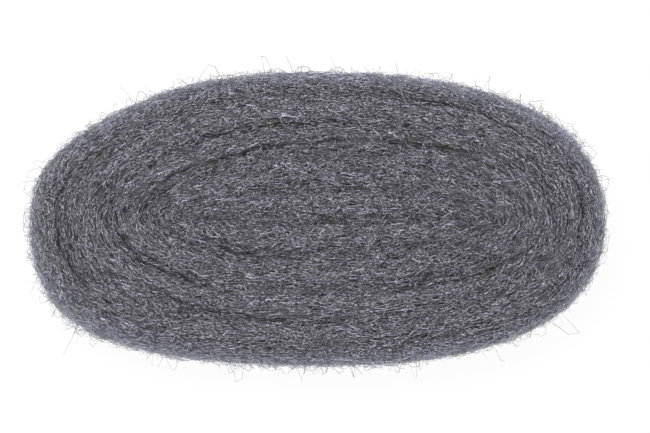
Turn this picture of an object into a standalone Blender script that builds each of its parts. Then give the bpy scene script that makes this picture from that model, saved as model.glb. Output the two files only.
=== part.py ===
"""Steel wool hand pad: one ribbon of steel wool, wound edge up into a flat oval coil.

The ribbon starts in a short flat fold, goes round it in nested ovals and ends in a
feathered tail on the outside. Its width is the height of the pad, so each turn shows
its edge as a rounded ridge on both faces. The pad lies on the lower face.
Metres, +Z up, origin at the middle of the lower face.
"""

import math

import bmesh
import bpy

# The pad as it lies
PAD_LENGTH = 0.115
PAD_WIDTH = 0.058
PAD_HEIGHT = 0.026

# The flat fold that the ribbon is wound round
CORE_LENGTH = 0.0507
CORE_SHIFT = 0.0035  # the fold lies this far to the +X side of the middle
CORE_OPENING = 0.0004  # between the two sides of the fold, at its middle

# The winding, which runs outward clockwise as seen from above
WHOLE_TURNS = 4
START_ANGLE = math.radians(276)
TAIL_ANGLE = math.radians(28)
START_TIP = 0.0006
START_THICKNESS = 0.0018
START_SPAN = 0.12  # the torn start thickens over this much of a turn
TAIL_THICKNESS = 0.0049
TAIL_TIP = 0.0007
TAIL_SPAN = 0.25  # the tail feathers over this much of a turn
TAIL_DROP = 0.003  # how much the tip stands below the rest, at each edge
TURN_GAP = 0.0003  # between one turn and the next

# Ovals are more pointed near the core than at the outline, and at the -X end the near
# side is fuller than the far one
OUTLINE_POWER = 2.4
OUTLINE_LEAN = 0.7
CORE_POWER = 1.55
FOLD_POWER = 2.2  # the innermost one, round the fold

# The section of the ribbon, across the pad
SHOULDER_POWER = 3.0  # how square the pad's rounded shoulders are
SIDE_SHARE = 0.42  # the share of the height that is left at the rim, as an upright side
GROOVE_DEPTH = 0.002  # from a ridge down to where two turns meet
GROOVE_POWER = 3.0
PRESSED = 0.0016  # how far the pad's weight and packing flatten the lower ridges

# The bundles of shavings that run along the ribbon, with furrows between them
FURROW_SHARE = 0.09  # how deep a furrow is, as a share of the ribbon's thickness
FURROW_EVERY = 2  # columns of the section from one furrow to the next
FURROW_WANDER = 1.7  # times in a turn that the furrows shift across by one bundle
FURROW_SWAY = 0.8

# The unevenness of hand winding
SWAY = 0.0005
SWAY_LENGTH = 0.017
SWAY_BEGINS = (0.6, 2.1)  # where in their wave the two sways are at the middle
RIDGE_RISE = 0.0004
RIDGE_WAVES = 3  # rises and dips in one turn
RIDGE_DRIFT = 0.07  # keeps them from lining up from turn to turn

# Fineness of the solid
STATIONS_PER_TURN = 52
SHORT_OF_START = 0.5  # stations left out at the very start, where the section has no width
ACROSS = (-1.0, -0.8, -0.4, 0.0, 0.4, 0.8, 1.0)  # from the inner wall to the outer
DOWN_WALL = (0.7, 0.42, 0.14, -0.14, -0.42, -0.7)  # down the outer wall, from its top to its foot
SHARP_FROM = math.radians(50)
JOIN_WITHIN = 1e-7

HALF_WIDTH = PAD_WIDTH / 2
FULL_TURN = 2 * math.pi
TURNS = WHOLE_TURNS + (START_ANGLE - TAIL_ANGLE) % FULL_TURN / FULL_TURN
TAIL_BEGINS = TURNS - TAIL_SPAN
PITCH = (HALF_WIDTH - TAIL_THICKNESS - START_THICKNESS) / (TAIL_BEGINS - 1)
HALF_HEIGHT = (PAD_HEIGHT + PRESSED - RIDGE_RISE) / 2
MID_HEIGHT = HALF_HEIGHT - PRESSED


def smooth_step(share):
    """0 to 1 with level ends."""
    share = min(1.0, max(0.0, share))
    return share * share * (3 - 2 * share)


def outer_reach(turn):
    """How far the ribbon's outer wall lies from the fold, at the pad's middle, after so many turns."""
    start = START_TIP + (START_THICKNESS - START_TIP) * smooth_step(turn / START_SPAN)
    wound = start + PITCH * turn
    rise = (TAIL_THICKNESS - TAIL_TIP) * smooth_step((turn - (TAIL_BEGINS - 1)) / TAIL_SPAN)
    under_tail = HALF_WIDTH - TAIL_THICKNESS + rise
    if turn <= TURNS - 1:
        return min(wound, under_tail)
    last = smooth_step((turn - (TURNS - 1)) / TAIL_SPAN)
    return HALF_WIDTH - TAIL_TIP * (1 - last)


def inner_reach(turn):
    """The same for its inner wall, which lies a gap outside the turn below."""
    if turn < 1:
        return CORE_OPENING / 2
    return outer_reach(turn - 1) + TURN_GAP


def signed_power(value, power):
    return math.copysign(abs(value) ** power, value)


def oval_point(angle, reach):
    """The point at that angle on the oval that lies at that reach from the fold."""
    share = reach / HALF_WIDTH
    half_length = CORE_LENGTH / 2 + (PAD_LENGTH - CORE_LENGTH) / 2 * share
    outline_power = OUTLINE_POWER - OUTLINE_LEAN * math.sin(angle) * max(0.0, -math.cos(angle))
    power = CORE_POWER + (outline_power - CORE_POWER) * share
    if reach <= CORE_OPENING / 2:
        power = FOLD_POWER
    x = half_length * signed_power(math.cos(angle), 2 / power) + CORE_SHIFT * (1 - share)
    y = reach * signed_power(math.sin(angle), 2 / power)
    return x, y


def swayed(x, y):
    """The point moved by the slow waves of hand winding, which leave the turns in order."""
    moved_x = x + SWAY * math.sin(y / SWAY_LENGTH + SWAY_BEGINS[0])
    moved_y = y + SWAY * math.sin(x / SWAY_LENGTH + SWAY_BEGINS[1]) * math.cos(y / SWAY_LENGTH)
    return moved_x, moved_y


def fullness(reach):
    """The share of its height that the pad has at that reach: all in the middle, least at the rim."""
    share = min(1.0, reach / HALF_WIDTH)
    return SIDE_SHARE + (1 - SIDE_SHARE) * (1 - share**SHOULDER_POWER) ** (1 / SHOULDER_POWER)


def furrow(column, turn):
    """How deep the surface lies between two bundles at that column, from 0 to 1."""
    shift = FURROW_WANDER * turn + FURROW_SWAY * math.sin(turn + column)
    return 0.5 - 0.5 * math.cos(FULL_TURN * (column / FURROW_EVERY + shift))


def section(turn):
    """The ribbon's outline after so many turns, as points from its top's inner edge round to its foot's."""
    angle = START_ANGLE - FULL_TURN * turn
    inner, outer = inner_reach(turn), outer_reach(turn)
    ridge = RIDGE_RISE * math.sin(RIDGE_WAVES * FULL_TURN * turn / (1 + RIDGE_DRIFT * turn))
    drop = TAIL_DROP * smooth_step((turn - TAIL_BEGINS) / TAIL_SPAN)
    depth = FURROW_SHARE * (outer - inner)
    upper, wall, lower = [], [], []
    for column, across in enumerate(ACROSS):
        reach = inner + (outer - inner) * (across + 1) / 2
        x, y = swayed(*oval_point(angle, reach))
        groove = GROOVE_DEPTH * abs(across) ** GROOVE_POWER
        between = depth * furrow(column, turn) * (1 - across * across)
        half = HALF_HEIGHT - drop - groove - between
        upper.append((x, y, MID_HEIGHT + fullness(reach) * (half + ridge)))
        lower.append((x, y, max(0.0, MID_HEIGHT - fullness(reach) * half)))
    side = fullness(outer) * (HALF_HEIGHT - drop - GROOVE_DEPTH)
    for column, down in enumerate(DOWN_WALL):
        x, y = swayed(*oval_point(angle, outer - depth * furrow(column, turn)))
        wall.append((x, y, MID_HEIGHT + side * down))
    return upper + wall + lower[::-1]


def wind_ribbon(name):
    """The ribbon as a grid, one row for each section, rolled into a tube and closed at both ends."""
    rows = int(TURNS * STATIONS_PER_TURN - SHORT_OF_START) + 1
    sections = [section(TURNS - row / STATIONS_PER_TURN) for row in range(rows)]
    corners = len(sections[0])
    mesh = bpy.data.meshes.new(name)
    grid = bmesh.new()
    bmesh.ops.create_grid(grid, x_segments=rows - 1, y_segments=corners, size=1)
    grid.verts.ensure_lookup_table()
    for index, vertex in enumerate(grid.verts):
        column, row = divmod(index, rows)
        vertex.co = sections[row][column % corners]
    bmesh.ops.remove_doubles(grid, verts=grid.verts, dist=JOIN_WITHIN)
    open_edges = [edge for edge in grid.edges if edge.is_boundary]
    bmesh.ops.holes_fill(grid, edges=open_edges, sides=0)
    bmesh.ops.recalc_face_normals(grid, faces=grid.faces)
    grid.to_mesh(mesh)
    grid.free()
    return mesh


def centre_on_origin(mesh):
    """Moves the mesh sideways until the middle of its length and width is over the origin."""
    for axis in (0, 1):
        places = [vertex.co[axis] for vertex in mesh.vertices]
        middle = (min(places) + max(places)) / 2
        for vertex in mesh.vertices:
            vertex.co[axis] -= middle


def steel_material():
    """Bright mild steel shavings, which look dark grey in the mass."""
    material = bpy.data.materials.new("steel_wool")
    material.use_nodes = True
    shader = material.node_tree.nodes["Principled BSDF"]
    shader.inputs["Base Color"].default_value = (0.13, 0.13, 0.145, 1)
    shader.inputs["Metallic"].default_value = 0.8
    shader.inputs["Roughness"].default_value = 0.5
    return material


def build():
    for thing in list(bpy.data.objects):
        bpy.data.objects.remove(thing)
    collection = bpy.data.collections.new("steel_wool_pad")
    bpy.context.scene.collection.children.link(collection)
    mesh = wind_ribbon("wound_wool")
    centre_on_origin(mesh)
    mesh.shade_smooth()
    mesh.set_sharp_from_angle(angle=SHARP_FROM)
    mesh.materials.append(steel_material())
    collection.objects.link(bpy.data.objects.new("wound_wool", mesh))


build()
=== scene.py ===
"""Steel wool hand pad: a wound ribbon of steel wool, dressed as the loose shavings it is made of.

The solid gives the size and the turns. A matted mass takes its form, shavings lie on the
mass along the turns, and curls and torn ends stand off it, most of them round the rim.
Metres, +Z up, with the lower face at z = 0.
"""

import math

import bpy
import numpy as np
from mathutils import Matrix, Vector
from mathutils.bvhtree import BVHTree


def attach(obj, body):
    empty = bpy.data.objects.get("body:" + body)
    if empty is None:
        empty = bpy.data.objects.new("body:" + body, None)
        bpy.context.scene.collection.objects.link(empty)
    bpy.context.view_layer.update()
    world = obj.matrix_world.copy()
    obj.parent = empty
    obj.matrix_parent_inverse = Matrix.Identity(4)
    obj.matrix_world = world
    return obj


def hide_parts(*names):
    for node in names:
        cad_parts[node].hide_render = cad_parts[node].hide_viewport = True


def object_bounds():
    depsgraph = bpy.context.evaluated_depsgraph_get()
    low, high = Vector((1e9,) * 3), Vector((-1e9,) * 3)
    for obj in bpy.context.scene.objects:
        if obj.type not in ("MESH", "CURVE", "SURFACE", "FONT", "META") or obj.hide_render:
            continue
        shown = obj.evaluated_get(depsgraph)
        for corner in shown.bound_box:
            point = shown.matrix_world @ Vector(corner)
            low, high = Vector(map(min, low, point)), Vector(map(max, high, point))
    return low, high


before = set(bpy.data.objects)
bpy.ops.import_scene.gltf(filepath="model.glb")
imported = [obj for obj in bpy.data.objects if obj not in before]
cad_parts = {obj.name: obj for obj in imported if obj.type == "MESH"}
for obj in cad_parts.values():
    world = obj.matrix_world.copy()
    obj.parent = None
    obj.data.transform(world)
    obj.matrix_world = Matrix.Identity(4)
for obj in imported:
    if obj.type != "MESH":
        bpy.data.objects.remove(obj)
cad_box = [list(corner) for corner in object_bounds()]

# The matted mass
# A ribbon of steel wool is wound edge up round a short flat fold, and its turns mat
# together. Only the dents between the turns show. Packing presses its lower face flat.
SKIN = 0.00025  # the loose outer layer, which the mass lies under
MEND = 0.00025  # closes the gaps between the turns before they are joined
MAT_GRAIN = 0.0007
LUMP_SIZE = 0.004
LUMP_RISE = 0.00008
TAIL_END = (0.0517, 0.0150)  # where the ribbon ends, torn and combed into the turn beneath
TAIL_BLEND = 0.0065
TAIL_UPRIGHT = 0.0085  # how far above and below its middle the side stands upright there
CORE_LENGTH = 0.0507  # of the flat fold
CORE_SHIFT = 0.0035  # the fold lies this far to the +X side of the middle
CORE_POWER = 1.55  # ovals round the fold are more pointed than the outline
OUTLINE_POWER = 2.4
OUTLINE_LEAN = 0.7  # at the -X end, how much fuller the near side is than the far one
HALVINGS = 26
NEAREST = 1e-5  # between here and the next, the halving looks for a turn
FARTHEST = 1.3  # half widths of the pad, past the loosest curl
WALL_RISE = 0.3  # faces of the ribbon whose normals rise less than this are its walls
STEEL = (0.14, 0.14, 0.15)
# near black painted shade: between the mass's streaks, and in the seams and splits between turns
PAINTED_SHADE_STEEL = (0.013, 0.013, 0.015)
LITTLE_SHINE = 0.1
SEAM_WIDTH = 0.00026  # of the line where two turns meet, which is painted dark as the shade in the gap
SEAM_SHADE = 0.95
SEAM_BREAKS = (0.72, 0.46)  # the noise of the bundles at which the painted shade of a seam is gone, and is whole
CLOSED_SEAM = 0.12  # how much of a seam shows where the turns lie tight
SEAM_LEVELS = (0.3, 0.8)  # the rise of the normals at which seams begin to show, and show full
SPLIT_SHADE = 0.7
SPLIT_BREAKS = (0.85, 0.46)
SPLIT_SWAY = 0.00018
SPLIT_WAVES = (4, 1.7)  # degrees round the pad in which the two sways run through one radian
SPLIT_TAPER = 8  # how soon from its ends a split has its full width
SPLIT_TIP = 0.05  # how wide it is at the ends themselves, as a share
FAR_OFF = 10.0  # widths of a split, which is as good as nowhere near it
SPLITS = (
    # where the turns have opened, painted dark as the shade in the gap: from and to which angle, how wide,
    # how far from the fold
    (26, 170, 0.00024, (0.0159, 0.0165, 0.0162, 0.0148, 0.0143, 0.0136, 0.0148)),
    (190, 242, 0.00020, (0.0152, 0.0154, 0.0158)),
    (285, 362, 0.00013, (0.0153, 0.0158, 0.0172)),
    (75, 126, 0.00011, (0.0190, 0.0188)),
    (124, 178, 0.00011, (0.0204, 0.0193)),
    (220, 280, 0.00011, (0.0189, 0.0215)),
    (140, 200, 0.00013, (0.0242, 0.0247, 0.0246)),
    (184, 214, 0.00022, (0.0246, 0.0243, 0.0242)),
    (35, 90, 0.00011, (0.0243, 0.0256)),
    (350, 380, 0.00013, (0.0239, 0.0249)),
    (225, 272, 0.00011, (0.0083, 0.0087)),
    (150, 186, 0.00011, (0.0111, 0.0109)),
)
RIM_BEGINS = 0.0256  # from here out, the wool is looser, and a painted sheen of the white room all round lightens it toward the rim
# the colour and share of that painted sheen: the white all round, reflected at the rim, painted into its
# colour
RIM_PAINTED_SHEEN = (0.80, 0.82, 1.0)
RIM_SHEEN_SHARE = 0.22
DARK_BUNDLE = (0.90, 0.90, 0.90)
BRIGHT_BUNDLE = (1.02, 1.02, 1.06)
BUNDLE_SCALE = 1500.0  # noise cells in a metre, across the bundles
BUNDLE_STRETCH = 22.0  # how much longer than wide the bundles are
BUNDLE_ENDS = (0.33, 0.50)  # the noise of the darkest bundles and of the brightest
STREAK_SCALE = 3000.0  # the same for the streaks
STREAK_STRETCH = 7.0
STREAK_ENDS = (0.39, 0.68)
STREAK_DEPTH = 0.0003

(low_x, low_y, _), (high_x, high_y, high_z) = cad_box
half_length = (high_x - low_x) / 2
half_width = (high_y - low_y) / 2


def only(piece):
    """Makes the piece the one that operators act on."""
    for other in bpy.context.selected_objects:
        other.select_set(False)
    piece.select_set(True)
    bpy.context.view_layer.objects.active = piece


def oval_at(reach, x, y):
    """Half length, power, middle and angle, at the point, of the oval at that reach from the fold."""
    share = reach / half_width
    length = CORE_LENGTH / 2 + (half_length - CORE_LENGTH / 2) * share
    shift = CORE_SHIFT * (1 - share)
    power = CORE_POWER + (OUTLINE_POWER - CORE_POWER) * share
    along = np.sign(x - shift) * np.abs((x - shift) / length) ** (power / 2)
    aside = np.sign(y) * np.abs(y / reach) ** (power / 2)
    lean = OUTLINE_LEAN * share * aside * np.maximum(0, -along)
    power = power - lean / np.maximum(along**2 + aside**2, 1e-9)
    return length, power, shift, np.arctan2(aside, along)


def reach_at(x, y):
    """How far from the fold the turn through each point lies, by halving."""
    low = np.full(len(x), NEAREST)
    high = np.full(len(x), half_width * FARTHEST)
    for _ in range(HALVINGS):
        middle = (low + high) / 2
        length, power, shift, _ = oval_at(middle, x, y)
        outside = np.abs((x - shift) / length) ** power + np.abs(y / middle) ** power > 1
        low = np.where(outside, middle, low)
        high = np.where(outside, high, middle)
    return (low + high) / 2


def turn_heading(points):
    """The level direction in which the ribbon runs at each point, clockwise from above."""
    x, y = points[:, 0], points[:, 1]
    reach = reach_at(x, y)
    length, power, shift, _ = oval_at(reach, x, y)
    slope_x = np.sign(x - shift) * np.abs((x - shift) / length) ** (power - 1) / length
    slope_y = np.sign(y) * np.abs(y / reach) ** (power - 1) / reach
    heading = np.stack([slope_y, -slope_x, np.zeros(len(x))], axis=1)
    return heading / np.maximum(np.linalg.norm(heading, axis=1), 1e-9)[:, None]


def apply_modifiers(piece):
    """Applies the modifiers of the piece that operators act on, from first to last."""
    for modifier in [item.name for item in piece.modifiers]:
        bpy.ops.object.modifier_apply(modifier=modifier)


def places_of(mesh):
    """Where the points of the mesh are, one row for each."""
    places = np.empty(len(mesh.vertices) * 3, np.float32)
    mesh.vertices.foreach_get("co", places)
    return places.reshape(-1, 3)


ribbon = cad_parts["wound_wool"]
walls = [face.vertices[:] for face in ribbon.data.polygons if abs(face.normal.z) < WALL_RISE]
wall_tree = BVHTree.FromPolygons([vertex.co for vertex in ribbon.data.vertices], walls)


def off_splits(points):
    """How far beside the nearest split each point of the upper face lies, in widths of the split."""
    reach = reach_at(points[:, 0], points[:, 1])
    angle = np.degrees(oval_at(reach, points[:, 0], points[:, 1])[3])
    nearest = np.full(len(points), FAR_OFF)
    for start, end, width, reaches in SPLITS:
        along = (angle - start) % 360 / (end - start)
        line = np.interp(along, np.linspace(0, 1, len(reaches)), reaches)
        line += SPLIT_SWAY * sum(np.sin(angle / wave) for wave in SPLIT_WAVES)
        narrowed = width * np.clip(SPLIT_TAPER * along * (1 - along), SPLIT_TIP, 1)
        off = np.clip((reach - line) / narrowed, -FAR_OFF, FAR_OFF)
        nearest = np.where(np.abs(off) < np.abs(nearest), off, nearest)
    return np.where(points[:, 2] > high_z / 2, nearest, FAR_OFF)


def seam_at(points, normals):
    """1 on the line where two turns meet, on the faces of the pad, and less beside it."""
    places = [wall_tree.find_nearest(Vector(point))[0] for point in points]
    aside = np.linalg.norm((np.array(places) - points)[:, :2], axis=1)
    seam = CLOSED_SEAM * np.exp(-((aside / SEAM_WIDTH) ** 2))
    opened = np.exp(-(off_splits(points) ** 2) / 2)
    return np.maximum(seam, opened) * np.interp(np.abs(normals[:, 2]), SEAM_LEVELS, (0, 1))


mat = bpy.data.objects.new("matted_wool", ribbon.data.copy())
bpy.context.scene.collection.objects.link(mat)
only(mat)
bpy.ops.object.mode_set(mode="EDIT")
bpy.ops.mesh.select_all(action="SELECT")
bpy.ops.mesh.remove_doubles(threshold=1e-6)
bpy.ops.object.mode_set(mode="OBJECT")
swell = mat.modifiers.new("swell", "DISPLACE")
swell.strength = MEND
swell.mid_level = 0
join = mat.modifiers.new("join", "REMESH")
join.mode = "VOXEL"
join.voxel_size = MAT_GRAIN
settle = mat.modifiers.new("settle", "SMOOTH")
settle.factor = 0.5
settle.iterations = 2
sink = mat.modifiers.new("sink", "DISPLACE")
sink.strength = -SKIN - MEND
sink.mid_level = 0
apply_modifiers(mat)

# Loose wool fills the step beside the tail's end, and is combed smooth
places = places_of(mat.data)
away = np.hypot(places[:, 0] - TAIL_END[0], places[:, 1] - TAIL_END[1])
by_tail = np.exp(-((away / TAIL_BLEND) ** 4))
upright = np.clip(1 - ((places[:, 2] - high_z / 2) / TAIL_UPRIGHT) ** 4, 0, 1)
short = np.maximum(0, half_width - SKIN - reach_at(places[:, 0], places[:, 1])) * (by_tail * upright)
heading = turn_heading(places)
places[:, 0] -= heading[:, 1] * short
places[:, 1] += heading[:, 0] * short
mat.data.vertices.foreach_set("co", places.astype(np.float32).ravel())
combed = mat.vertex_groups.new(name="combed")
for vertex, share in enumerate(by_tail.tolist()):
    combed.add([vertex], share, "REPLACE")
comb = mat.modifiers.new("comb", "SMOOTH")
comb.factor = 0.5
comb.iterations = 12
comb.vertex_group = "combed"
lumps = mat.modifiers.new("lumps", "DISPLACE")
lumps.texture = bpy.data.textures.new("lumps", "CLOUDS")
lumps.texture.noise_scale = LUMP_SIZE
lumps.strength = LUMP_RISE
lumps.mid_level = 0.6
apply_modifiers(mat)
places = places_of(mat.data)
mat_normals = np.empty(len(places) * 3, np.float32)
mat.data.vertex_normals.foreach_get("vector", mat_normals)
mat_normals = mat_normals.reshape(-1, 3)
places[:, 2] = np.maximum(places[:, 2], SKIN)
mat.data.vertices.foreach_set("co", places.ravel())
mat.data.shade_smooth()
mat.data.update()


def add_values(mesh, name, values):
    """Gives each point of the mesh a value that its material can read."""
    layer = mesh.attributes.new(name, "FLOAT", "POINT")
    layer.data.foreach_set("value", values.astype(np.float32))


add_values(mat.data, "across_turns", reach_at(places[:, 0], places[:, 1]))
add_values(mat.data, "off_splits", off_splits(places))
add_values(mat.data, "seam", seam_at(places, mat_normals))


def node(tree, kind, sockets, **settings):
    """Adds a shader node, sets its properties and fills its sockets with values or links."""
    made = tree.nodes.new(kind)
    for key, value in settings.items():
        setattr(made, key, value)
    for key, value in sockets.items():
        if isinstance(value, bpy.types.NodeSocket):
            tree.links.new(value, made.inputs[key])
        else:
            made.inputs[key].default_value = value
    return made


def times(tree, value, factor):
    return node(tree, "ShaderNodeMath", {0: value, 1: factor}, operation="MULTIPLY").outputs[0]


def attribute(tree, name):
    return node(tree, "ShaderNodeAttribute", {}, attribute_name=name).outputs["Fac"]


def spread(tree, value, ends, top=1.0):
    """The value put on a scale that is 0 at the first end and the top at the second."""
    sockets = {"Value": value, "From Min": ends[0], "From Max": ends[1], "To Max": top}
    return node(tree, "ShaderNodeMapRange", sockets).outputs[0]


def ramp_between(tree, share, ends, dark, bright):
    """The dark colour up to the first end, the bright one from the second, and a blend between."""
    made = node(tree, "ShaderNodeValToRGB", {"Fac": share})
    first, last = made.color_ramp.elements
    first.position, first.color = ends[0], (*dark, 1)
    last.position, last.color = ends[1], (*bright, 1)
    return made.outputs["Color"]


def mixed(tree, share, colour, other, how="MIX"):
    sockets = {0: share, 6: colour, 7: other}
    return node(tree, "ShaderNodeMix", sockets, data_type="RGBA", blend_type=how).outputs[2]


def new_material(name, metallic, roughness):
    """A material, with its node tree and its shader."""
    material = bpy.data.materials.new(name)
    material.use_nodes = True
    shader = material.node_tree.nodes["Principled BSDF"]
    shader.inputs["Metallic"].default_value = metallic
    shader.inputs["Roughness"].default_value = roughness
    shader.inputs["Specular IOR Level"].default_value = LITTLE_SHINE
    return material, material.node_tree, shader


def drawn_out_noise(tree, scale, stretch, **more):
    """Noise that is drawn out along the turns, which run level round the pad."""
    where = node(tree, "ShaderNodeTexCoord", {}).outputs["Object"]
    parts = node(tree, "ShaderNodeSeparateXYZ", {"Vector": where}).outputs
    across = attribute(tree, "across_turns")
    level_x, level_y = (times(tree, parts[axis], 1 / stretch) for axis in "XY")
    place = node(tree, "ShaderNodeCombineXYZ", {"X": level_x, "Y": level_y, "Z": across}).outputs[0]
    noise = {"Vector": place, "W": parts["Z"], "Scale": scale, **more}
    return node(tree, "ShaderNodeTexNoise", noise, noise_dimensions="4D").outputs["Fac"]


def wool_tone_and_painted_light_group():
    """Lighter and darker bundles, painted shade on broken lines between turns and in the splits, and a
    painted white sheen on the rim.
    """
    group = bpy.data.node_groups.new("wool_tone_and_painted_light", "ShaderNodeTree")
    group.interface.new_socket("Colour", in_out="INPUT", socket_type="NodeSocketColor")
    group.interface.new_socket("Colour", in_out="OUTPUT", socket_type="NodeSocketColor")
    bare = node(group, "NodeGroupInput", {}).outputs["Colour"]
    bundles = drawn_out_noise(group, BUNDLE_SCALE, BUNDLE_STRETCH, Detail=1.0)
    tint = ramp_between(group, bundles, BUNDLE_ENDS, DARK_BUNDLE, BRIGHT_BUNDLE)
    colour = mixed(group, 1.0, bare, tint, "MULTIPLY")
    # Painted shade: seams and splits are darkened toward near black, as the shade in the gaps between turns
    seam = attribute(group, "seam")
    seam = times(group, seam, spread(group, bundles, SEAM_BREAKS, SEAM_SHADE))
    off = attribute(group, "off_splits")
    fading = times(group, times(group, off, off), -1)
    split = node(group, "ShaderNodeMath", {0: fading}, operation="EXPONENT").outputs[0]
    split = times(group, split, spread(group, bundles, SPLIT_BREAKS, SPLIT_SHADE))
    shade = node(group, "ShaderNodeMath", {0: seam, 1: split}, operation="MAXIMUM").outputs[0]
    colour = mixed(group, shade, colour, (*PAINTED_SHADE_STEEL, 1))
    # Painted sheen: the outermost wool is painted lighter and bluer, as the white room reflected at the rim
    outmost = spread(group, attribute(group, "across_turns"), (RIM_BEGINS, half_width))
    painted_sheen = times(group, times(group, outmost, outmost), RIM_SHEEN_SHARE)
    node(group, "NodeGroupOutput", {"Colour": mixed(group, painted_sheen, colour, (*RIM_PAINTED_SHEEN, 1))})
    return group


def colour_wool(tree, shader, steel):
    """Gives the shader the steel's colour, toned as the wool is, with painted shade between turns and a
    painted sheen at the rim.
    """
    toned = node(tree, "ShaderNodeGroup", {}, node_tree=wool_tone_and_painted_light)
    tree.links.new(steel, toned.inputs["Colour"])
    tree.links.new(toned.outputs["Colour"], shader.inputs["Base Color"])


def matted_material():
    """Streaks as fine as shavings, drawn out along the turns, bright over near black painted shade of the
    gaps between them.
    """
    material, tree, shader = new_material("matted_wool", metallic=0.8, roughness=0.5)
    streaks = drawn_out_noise(tree, STREAK_SCALE, STREAK_STRETCH, Detail=2.0, Roughness=0.7, Distortion=0.6)
    colour_wool(tree, shader, ramp_between(tree, streaks, STREAK_ENDS, PAINTED_SHADE_STEEL, STEEL))
    bump = node(tree, "ShaderNodeBump", {"Height": streaks, "Strength": 1.0, "Distance": STREAK_DEPTH})
    tree.links.new(bump.outputs["Normal"], shader.inputs["Normal"])
    return material


wool_tone_and_painted_light = wool_tone_and_painted_light_group()
mat.data.materials.clear()
mat.data.materials.append(matted_material())
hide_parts("wound_wool")
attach(mat, "root")

# The laid shavings
# Shavings of a wire, thin as hair and three-sided, which run along the turns and dip in
# and out of the mass. The upper face has two layers, and the side and underside have one.
FIBRE_RADIUS = 0.000055
RADIUS_SPREAD = 0.35  # how much the shavings differ, as a share of their radius
RADIUS_WAVER = 0.15  # the same along one shaving
TIP_SHARE = 0.45  # how thick its ends are
TWIST = 0.5  # from ring to ring
LENGTH_SPREAD = 0.45
LAID_RINGS = 4
EVEN_WITHIN = 0.0004
ORDER_BITS = 9  # enough to number the cells of that size along the pad
TONE_SPREAD = 6.0  # the higher, the more alike the shavings
SEAM_BARE = 0.9  # how much barer of shavings the seams between turns are
SEAM_ORDER = 0.9  # how much better they follow the turns there
CORE_TANGLE = 2.6  # how much less they follow them at the fold than at the rim
SEAM_DIP = 0.0003  # how much deeper they lie there
GLINT_SCALE = 3400.0  # noise cells in a metre
GLINT_STRETCH = 1.7
GLINT_ENDS = (0.44, 0.57)  # the noise of the dullest steel and of the brightest painted glint
# shavings go from dull steel to a painted glint: painted highlights along each one where its twisting faces
# would catch the light, over tones that differ at random
DULL_STEEL = (0.098, 0.095, 0.108)
PAINTED_GLINT_STEEL = (0.90, 0.885, 0.96)
FACE_GAIN = 2.5  # how soon past the rim the layers on the faces are full
SIDE_GAIN = 1.3  # how soon the layer on the side ends
CELL_ALONG = (0.12, 0.88)  # where in its own cell of the map a shaving begins and ends
CELL_ROUND = (0.08, 0.92)  # the same round it
CELL_CAPS = (0.04, 0.96)  # the points of its two end caps

mat_tree = BVHTree.FromObject(mat, bpy.context.evaluated_depsgraph_get())
face_count = len(mat.data.polygons)
face_middles = np.empty(face_count * 3)
face_normals = np.empty(face_count * 3)
face_areas = np.empty(face_count)
mat.data.polygons.foreach_get("center", face_middles)
mat.data.polygons.foreach_get("normal", face_normals)
mat.data.polygons.foreach_get("area", face_areas)
face_middles = face_middles.reshape(-1, 3)
face_normals = face_normals.reshape(-1, 3)
face_seams = seam_at(face_middles, face_normals)

# Faces in an order that keeps neighbours together, so that even picks along it lie evenly
cells = ((face_middles - face_middles.min(0)) / EVEN_WITHIN).astype(np.int64)
winding = sum(((cells >> bit & 1) << np.arange(3) + 3 * bit).sum(1) for bit in range(ORDER_BITS))
together = np.argsort(winding)


def on_mass(points):
    """The nearest places on the mass, and which way it faces there."""
    found = [mat_tree.find_nearest(Vector(point)) for point in points]
    return np.array([item[0] for item in found]), np.array([item[1] for item in found])


def steps_along(points, normals, angle):
    """Unit steps on the mass's surface, at that angle to the turns."""
    heading = turn_heading(points)
    heading -= normals * (heading * normals).sum(1)[:, None]
    heading /= np.maximum(np.linalg.norm(heading, axis=1), 1e-9)[:, None]
    sideways = np.cross(normals, heading)
    return heading * np.cos(angle)[:, None] + sideways * np.sin(angle)[:, None]


def picked_faces(where, count, rng):
    """Faces of the mass picked evenly over its area, as often as where says."""
    shares = np.cumsum((face_areas * where)[together])
    picks = (np.arange(count) + rng.random(count)) / count
    return together[np.searchsorted(shares / shares[-1], picks)]


def laid_paths(count, where, rings, length, scatter, wander, rise, dips, seed):
    """Paths that follow the turns, from places picked evenly over part of the mass."""
    rng = np.random.default_rng(seed)
    starts = picked_faces(where * (1 - SEAM_BARE * face_seams), count, rng)
    points = face_middles[starts] + rng.normal(0, MAT_GRAIN / 2, (count, 3))
    points, normals = on_mass(points)
    scatter = scatter * (1 - SEAM_ORDER * seam_at(points, normals))
    scatter = scatter * (1 + CORE_TANGLE * (1 - reach_at(points[:, 0], points[:, 1]) / half_width))
    step = length * rng.uniform(1 - LENGTH_SPREAD, 1 + LENGTH_SPREAD, count) / (rings - 1)
    angle = rng.normal(0, scatter, count) + np.where(rng.random(count) < 0.5, 0, math.pi)
    bend = rng.normal(0, wander, count)
    height = rng.normal(rise, dips, count)
    paths = np.empty((count, rings, 3))
    seams = np.empty((count, rings))
    for ring in range(rings):
        seam = seam_at(points, normals)
        lift = height + rng.normal(0, dips, count) - SEAM_DIP * seam
        paths[:, ring] = points + normals * lift[:, None]
        seams[:, ring] = seam
        angle = angle + bend + rng.normal(0, wander, count)
        points, normals = on_mass(points + steps_along(points, normals, angle) * step[:, None])
    return paths, seams


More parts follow.
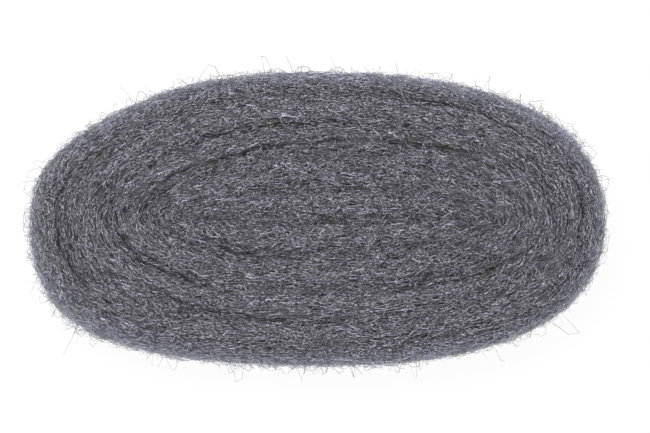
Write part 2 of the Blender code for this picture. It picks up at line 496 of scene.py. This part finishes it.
def chip_profile():
    """The section of a shaving: the blade cuts it three-sided."""
    outline = bpy.data.curves.new("chip_profile", "CURVE")
    spline = outline.splines.new("POLY")
    spline.points.add(2)
    for corner, point in enumerate(spline.points):
        turn = math.radians(120 * corner)
        point.co = (math.cos(turn), math.sin(turn), 0, 1)
    spline.use_cyclic_u = True
    profile = bpy.data.objects.new("chip_profile", outline)
    bpy.context.scene.collection.objects.link(profile)
    return profile


def places_in_strands(count, rings):
    """Which strand, ring and edge each point of a converted curve belongs to."""
    # Blender puts the end caps first, from the last strand to the first, then the strands
    strands = np.arange(count)
    strand = np.concatenate([np.repeat(strands[::-1], 6), np.repeat(strands, rings * 3)])
    cap_rings = np.tile([rings - 1] * 3 + [0] * 3, count)
    ring = np.concatenate([cap_rings, np.tile(np.repeat(np.arange(rings), 3), count)])
    return strand, ring, np.arange(len(strand)) % 3


def own_cells(mesh, strand, ring, edge):
    """A map with one cell for each shaving: along it to the right, round it upward."""
    side = math.ceil(math.sqrt(strand.max() + 1))
    corners = np.empty(len(mesh.loops), np.int64)
    mesh.loops.foreach_get("vertex_index", corners)
    strand, ring, edge = strand[corners], ring[corners], edge[corners]
    starts = np.empty(len(mesh.polygons), np.int64)
    sizes = np.empty(len(mesh.polygons), np.int64)
    mesh.polygons.foreach_get("loop_start", starts)
    mesh.polygons.foreach_get("loop_total", sizes)
    face = np.repeat(np.arange(len(starts)), sizes)
    wraps = np.bitwise_or.reduceat(1 << edge, starts)[face] == 0b101
    up = np.interp(np.where(wraps & (edge == 0), 3, edge), (0, 3), CELL_ROUND)
    right = np.interp(ring, (0, ring.max()), CELL_ALONG)
    cap = (sizes == 3)[face]
    right = np.where(cap & (edge == 1), np.where(ring == 0, *CELL_CAPS), right)
    spots = np.stack([strand % side + right, strand // side + up], axis=1) / side
    layer = mesh.uv_layers.new(name="OFBake")
    layer.data.foreach_set("uv", spots.astype(np.float32).ravel())


def shavings(name, paths, seams, radius, seed):
    """One mesh of many shavings: a curve with a triangle for its section, made solid."""
    rng = np.random.default_rng(seed)
    count, rings = paths.shape[:2]
    curve = bpy.data.curves.new(name, "CURVE")
    curve.dimensions = "3D"
    curve.bevel_mode = "OBJECT"
    curve.bevel_object = profile
    curve.use_fill_caps = True
    thickness = radius * rng.uniform(1 - RADIUS_SPREAD, 1 + RADIUS_SPREAD, (count, 1))
    thickness = thickness * rng.uniform(1 - RADIUS_WAVER, 1 + RADIUS_WAVER, (count, rings))
    thickness[:, [0, -1]] *= TIP_SHARE
    paths[:, :, 2] = np.maximum(paths[:, :, 2], thickness)
    twist = rng.uniform(0, 2 * math.pi, (count, 1))
    twist = twist + np.cumsum(rng.normal(0, TWIST, (count, rings)), axis=1)
    corners = np.concatenate([paths, np.ones((count, rings, 1))], axis=2).astype(np.float32)
    for line in range(count):
        spline = curve.splines.new("POLY")
        spline.points.add(rings - 1)
        spline.points.foreach_set("co", corners[line].ravel())
        spline.points.foreach_set("radius", thickness[line].astype(np.float32))
        spline.points.foreach_set("tilt", twist[line].astype(np.float32))
    piece = bpy.data.objects.new(name, curve)
    bpy.context.scene.collection.objects.link(piece)
    only(piece)
    bpy.ops.object.convert(target="MESH")
    piece = bpy.context.view_layer.objects.active
    mesh = piece.data
    strand, ring, edge = places_in_strands(count, rings)
    places = paths.reshape(-1, 3)
    across = reach_at(places[:, 0], places[:, 1]).reshape(count, rings)
    add_values(mesh, "across_turns", across[strand, ring])
    add_values(mesh, "off_splits", off_splits(places).reshape(count, rings)[strand, ring])
    add_values(mesh, "seam", seams[strand, ring])
    add_values(mesh, "tone", rng.beta(TONE_SPREAD, TONE_SPREAD, count)[strand])
    own_cells(mesh, strand, ring, edge)
    bpy.ops.object.mode_set(mode="EDIT")
    bpy.ops.mesh.select_all(action="SELECT")
    bpy.ops.mesh.remove_doubles(threshold=1e-7)
    bpy.ops.object.mode_set(mode="OBJECT")
    mesh.materials.clear()
    mesh.materials.append(shaving_look)
    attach(piece, "root")


def shaving_material():
    """Bare steel in tones that differ at random, with painted glints: bright dashes where a twisting face
    would catch the light.
    """
    material, tree, shader = new_material("steel_shavings", metallic=0.85, roughness=0.42)
    glints = drawn_out_noise(tree, GLINT_SCALE, GLINT_STRETCH, Detail=1.0)
    tone_and_glints = times(tree, attribute(tree, "tone"), spread(tree, glints, GLINT_ENDS))
    colour_wool(tree, shader, ramp_between(tree, tone_and_glints, (0, 1), DULL_STEEL, PAINTED_GLINT_STEEL))
    return material


profile = chip_profile()
shaving_look = shaving_material()
upward = np.clip(face_normals[:, 2] * FACE_GAIN, 0, 1)
downward = np.clip(-face_normals[:, 2] * FACE_GAIN, 0, 1)
outward = np.clip(1 - np.abs(face_normals[:, 2]) * SIDE_GAIN, 0, 1)
LAYERS = (
    # name, where, how many, length, scatter, wander, rise, dips, seed
    ("upper_shavings", upward, 9800, 0.0040, 0.13, 0.10, 0.00005, 0.00011, 11),
    ("upper_top_shavings", upward, 9800, 0.0038, 0.18, 0.14, 0.00016, 0.00012, 12),
    ("side_shavings", outward, 8200, 0.0050, 0.26, 0.24, 0.00028, 0.00028, 13),
    ("lower_shavings", downward, 6300, 0.0062, 0.20, 0.20, 0.00002, 0.00012, 14),
)
for name, where, count, length, scatter, wander, rise, dips, seed in LAYERS:
    paths, seams = laid_paths(count, where, LAID_RINGS, length, scatter, wander, rise, dips, seed)
    shavings(name, paths, seams, FIBRE_RADIUS, seed + 100)

# The loose curls
# Ends and loops that the winding left free. Most stand out from the rim, where nothing
# holds them down, and a few arch over the upper face.
CURL_RADIUS = 0.000042
CURL_RINGS = 9
FUZZ_RADIUS = 0.000045
FUZZ_RINGS = 4
CURL_LENGTHS = 0.35  # how much they differ in length, as a power of e
CURL_HEIGHTS = 0.55  # the same for how far they stand off
FREE_SHARE = 0.35  # of them with a free end, where the rest are arches
STRAY = 0.6  # how far they turn from the way of the winding
LEAN = 0.15
LEAN_CHANGE = 0.12  # from ring to ring
FREE_BEND = 1.5  # a free end leaves the mass level, and stands off it more and more
FRINGES = (
    # where the rim is ragged, how far that goes, and how many more curls and fuzz are there
    (0.050, 0.018, 0.010, 7, 1),  # where the ribbon ends
    (-0.055, 0.003, 0.009, 3, 0),  # where a bundle has come loose
    (-0.044, -0.018, 0.016, 3, 1.2),  # where handling has pulled the rim loose
)
RIM_FUZZ = 0.9  # how much fuzz there is all round the rim
UPPER_FUZZ = 0.1


def curled_paths(count, where, rings, length, rise, curl, seed):
    """Paths that leave the mass, arch or trail away from it, and wave as they go."""
    rng = np.random.default_rng(seed)
    starts = picked_faces(where, count, rng)
    points, normals = on_mass(face_middles[starts] + rng.normal(0, MAT_GRAIN / 2, (count, 3)))
    step = length * rng.lognormal(0, CURL_LENGTHS, count) / (rings - 1)
    height = rise * rng.lognormal(0, CURL_HEIGHTS, count)
    free = rng.random(count) < FREE_SHARE
    angle = rng.normal(0, STRAY, count) + np.where(rng.random(count) < 0.5, 0, math.pi)
    bend = rng.normal(0, curl, count)
    lean = rng.normal(0, 1, (count, 3)) * LEAN
    paths = np.empty((count, rings, 3))
    for ring in range(rings):
        along = ring / (rings - 1)
        arch = np.where(free, along**FREE_BEND, np.sin(math.pi * along))
        paths[:, ring] = points + normals * (arch * height)[:, None]
        paths[:, ring] += lean * (arch * height)[:, None]
        lean = lean + rng.normal(0, LEAN_CHANGE, (count, 3))
        angle = angle + bend + rng.normal(0, curl, count)
        points, normals = on_mass(points + steps_along(points, normals, angle) * step[:, None])
    return paths


ragged = 1
looser = RIM_FUZZ
for x, y, width, more_curls, more_fuzz in FRINGES:
    away = np.hypot(face_middles[:, 0] - x, face_middles[:, 1] - y)
    near = np.exp(-((away / width) ** 2))
    ragged = ragged + more_curls * near
    looser = looser + more_fuzz * near
curls = np.concatenate(
    [
        # how many, where, rings, length, rise, curl, seed
        curled_paths(1560, outward * ragged, CURL_RINGS, 0.0068, 0.0008, 0.36, 31),
        curled_paths(400, upward, CURL_RINGS, 0.008, 0.0004, 0.34, 32),
        curled_paths(100, downward, CURL_RINGS, 0.008, 0.0003, 0.34, 33),
    ]
)
shavings("loose_curls", curls, np.zeros(curls.shape[:2]), CURL_RADIUS, 131)
looser = outward * looser + upward * UPPER_FUZZ
fuzz = curled_paths(5600, looser, FUZZ_RINGS, 0.0030, 0.0008, 0.40, 34)
shavings("rim_fuzz", fuzz, np.zeros(fuzz.shape[:2]), FUZZ_RADIUS, 132)
bpy.data.objects.remove(profile)

# The ground
# A plain white sheet, which the camera sees as pure white with a faint shadow.
GROUND_SIZE = 1.6
GROUND_WHITE = 0.93
SEEN_WHITE = 0.93  # how much of its own white the camera sees, over what the lamps give it
bpy.ops.mesh.primitive_plane_add(size=GROUND_SIZE, location=(0, 0, 0))
ground = bpy.context.object
ground.name = "ground"
ground_look, ground_tree, ground_shader = new_material("white_ground", metallic=0.0, roughness=0.9)
ground_shader.inputs["Base Color"].default_value = (GROUND_WHITE, GROUND_WHITE, GROUND_WHITE, 1)
bare_white = node(ground_tree, "ShaderNodeEmission", {"Color": (1, 1, 1, 1)}).outputs[0]
rays = node(ground_tree, "ShaderNodeLightPath", {}).outputs
seen = times(ground_tree, rays["Is Camera Ray"], SEEN_WHITE)
blend = node(ground_tree, "ShaderNodeMixShader", {0: seen, 1: ground_shader.outputs[0], 2: bare_white})
ground_tree.links.new(blend.outputs[0], ground_tree.nodes["Material Output"].inputs["Surface"])
ground.data.materials.append(ground_look)

# The light
# An even white room lights the pad from all round, and one soft lamp from the upper left
# gives it its glints and a faint shadow.
ROOM_LIGHT = 1.0
ROOM_SEEN = 1.29  # the room as the camera and the bright steel see it
world = bpy.data.worlds.new("white_room")
world.use_nodes = True
bpy.context.scene.world = world
world_tree = world.node_tree
backdrop = world_tree.nodes["Background"]
rays = node(world_tree, "ShaderNodeLightPath", {}).outputs
shown = {0: rays["Is Camera Ray"], 1: rays["Is Glossy Ray"]}
seen = node(world_tree, "ShaderNodeMath", shown, operation="MAXIMUM").outputs[0]
levels = {"Value": seen, "To Min": ROOM_LIGHT, "To Max": ROOM_SEEN}
strength = node(world_tree, "ShaderNodeMapRange", levels)
backdrop.inputs["Color"].default_value = (1, 1, 1, 1)
world_tree.links.new(strength.outputs[0], backdrop.inputs["Strength"])

KEY_PLACE = (-0.16, 0.20, 0.74)
KEY_SIZE = 0.22
KEY_POWER = 3.4
key = bpy.data.lights.new("key", "AREA")
key.size = KEY_SIZE
key.energy = KEY_POWER
key_lamp = bpy.data.objects.new("key", key)
key_lamp.location = KEY_PLACE
key_lamp.rotation_euler = (-Vector(KEY_PLACE)).to_track_quat("-Z", "Y").to_euler()
bpy.context.scene.collection.objects.link(key_lamp)

# The view
# The camera looks down from nearly straight above, far enough off that little of the side
# shows.
CAMERA_DISTANCE = 0.75
CAMERA_TILT = math.radians(2.5)  # the camera stands this far to the -Y side of straight above
CAMERA_ROLL = math.radians(0.5)
PICTURE_WIDTH = 0.1312  # what the picture takes in at the pad's mid height
AIM = Vector((0.0019, 0.0007, 0.013))  # the picture's middle, beside the pad's own
camera = bpy.data.cameras.new("camera")
camera.sensor_width = 36.0
camera.lens = camera.sensor_width * CAMERA_DISTANCE / PICTURE_WIDTH
camera.clip_end = 10
viewer = bpy.data.objects.new("camera", camera)
viewer.rotation_euler = (CAMERA_TILT, 0, CAMERA_ROLL)
away = Vector((0, -math.sin(CAMERA_TILT), math.cos(CAMERA_TILT)))
viewer.location = AIM + away * CAMERA_DISTANCE
bpy.context.scene.collection.objects.link(viewer)
bpy.context.scene.camera = viewer
bpy.context.scene.view_settings.view_transform = "Standard"
